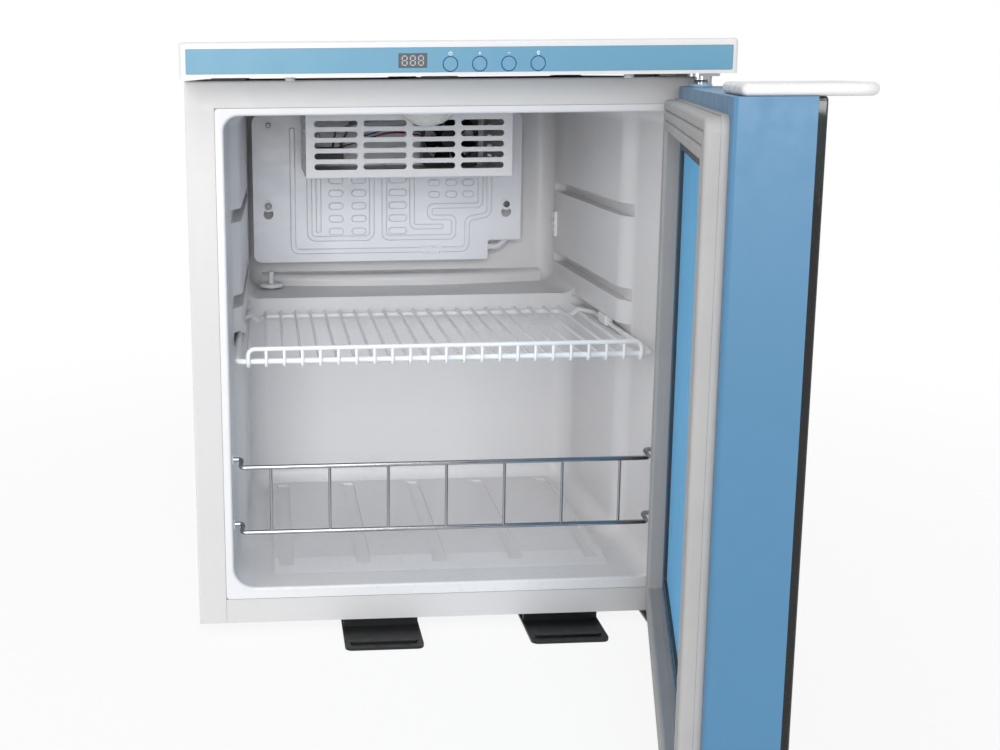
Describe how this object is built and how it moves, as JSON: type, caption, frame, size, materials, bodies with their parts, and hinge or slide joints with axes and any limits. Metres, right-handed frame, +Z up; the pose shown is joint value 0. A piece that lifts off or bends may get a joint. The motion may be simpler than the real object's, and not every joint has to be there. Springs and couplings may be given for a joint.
{
  "type": "compact refrigerated cabinet",
  "caption": "Small refrigerated cabinet: blue-framed glazed door standing open, wire shelf, bottle guard, cold plate with fan cover, and a top control strip with display and buttons",
  "frame": {"origin": "middle of the bounding box at floor level, door open as stored", "axes": "X to the cabinet's right seen from the front, Y from the front towards the back, Z up"},
  "size_m": [0.4514, 0.8671, 0.5133],
  "materials": {
    "white_coat": "white powder coat",
    "galvanised": "galvanised sheet",
    "liner_plastic": "vacuum-formed white polystyrene",
    "foam": "polyurethane foam",
    "black_paint": "black enamel",
    "black_rubber": "matt rubber",
    "black_plastic": "matt black",
    "tray_plastic": "natural polypropylene",
    "copper": "bare copper tube",
    "cover_plastic": "white ABS",
    "blue_strip": "sky-blue film",
    "display_glass": "smoked window",
    "digit_white": "unlit segments",
    "board_green": "printed board",
    "clear_bumper": "translucent bumper",
    "evaporator_white": "white-coated aluminium",
    "zinc": "zinc plated",
    "dark_plastic": "black nylon",
    "lamp_diffuser": "milky diffuser",
    "white_wire": "white plastic-coated wire",
    "chrome_wire": "chrome plated",
    "door_blue": "sky-blue satin",
    "outer_glass": "clear tempered",
    "inner_panel": "blue-filmed pane",
    "spacer_metal": "mill finish",
    "gasket_grey": "soft grey-white",
    "bush_plastic": "light blue nylon",
    "black_steel": "black coat"
  },
  "bodies": {
    "cabinet": {"liner": "liner_plastic", "outer_shell": "white_coat", "base_pan": "white_coat", "back_panel": "galvanised", "insulation": "foam", "compressor_base": "galvanised", "compressor_mounts": "black_rubber", "compressor": "black_paint", "starter_box": "black_plastic", "drip_tray": "tray_plastic", "drain_hose": "tray_plastic", "filter_drier": "copper", "refrigerant_lines": "copper", "power_inlet": "black_plastic", "top_cover": "cover_plastic", "fascia_strip": "blue_strip", "display_window": "display_glass", "display_digits": "digit_white", "control_board": "board_green", "cover_tray": "cover_plastic", "cover_bumpers": "clear_bumper", "evaporator_plate": "evaporator_white", "evaporator_screws": "zinc", "evaporator_spacers": "liner_plastic", "suction_tube": "evaporator_white", "drain_plug": "liner_plastic", "fan_cover": "white_coat", "fan_frame": "dark_plastic", "fan_wiring": "dark_plastic", "lamp_base": "liner_plastic", "lamp_lens": "lamp_diffuser", "sensor_cover": "liner_plastic", "guard_bars": "chrome_wire", "guard_grommets": "liner_plastic", "guard_uprights": "chrome_wire", "hinge_top": "chrome_wire", "hinge_bottom": "black_steel", "stabiliser_left": "black_steel", "stabiliser_right": "black_steel", "rear_feet": "black_rubber"},
    "door": {"door_stile_hinge": "door_blue", "door_stile_free": "door_blue", "door_rail_top": "door_blue", "door_rail_bottom": "door_blue", "door_outer_glass": "outer_glass", "door_glass_spacer": "spacer_metal", "door_inner_panel": "inner_panel", "door_panel_seal": "black_plastic", "door_gasket": "gasket_grey", "door_handle": "cover_plastic", "door_bushes": "bush_plastic"},
    "shelf": {"shelf_frame": "white_wire", "shelf_wires": "white_wire", "shelf_lip": "white_wire", "shelf_clips": "liner_plastic"},
    "fan_rotor": {"fan_rotor": "dark_plastic"},
    "button_power": {"button_power": "blue_strip"},
    "button_plus": {"button_plus": "blue_strip"},
    "button_minus": {"button_minus": "blue_strip"},
    "button_lamp": {"button_lamp": "blue_strip"}
  },
  "joints": [
    {"name": "door_swing", "type": "hinge", "parent": "cabinet", "child": "door", "pos_m": [0.19433, -0.02196, 0.01], "axis": [0, 0, 1], "range_deg": [-75, 45]},
    {"name": "shelf_slide", "type": "slide", "parent": "cabinet", "child": "shelf", "axis": [0, -1, 0], "range_m": [0, 0.014]},
    {"name": "fan_spin", "type": "hinge", "parent": "cabinet", "child": "fan_rotor", "pos_m": [0.04063, 0.31704, 0.4186], "axis": [0, 1, 0], "continuous": true},
    {"name": "button_power_press", "type": "slide", "parent": "cabinet", "child": "button_power", "axis": [0, 1, 0], "range_m": [0, 0.0008], "stiffness_N_per_m": 500},
    {"name": "button_plus_press", "type": "slide", "parent": "cabinet", "child": "button_plus", "axis": [0, 1, 0], "range_m": [0, 0.0008], "stiffness_N_per_m": 500},
    {"name": "button_minus_press", "type": "slide", "parent": "cabinet", "child": "button_minus", "axis": [0, 1, 0], "range_m": [0, 0.0008], "stiffness_N_per_m": 500},
    {"name": "button_lamp_press", "type": "slide", "parent": "cabinet", "child": "button_lamp", "axis": [0, 1, 0], "range_m": [0, 0.0008], "stiffness_N_per_m": 500}
  ]
}
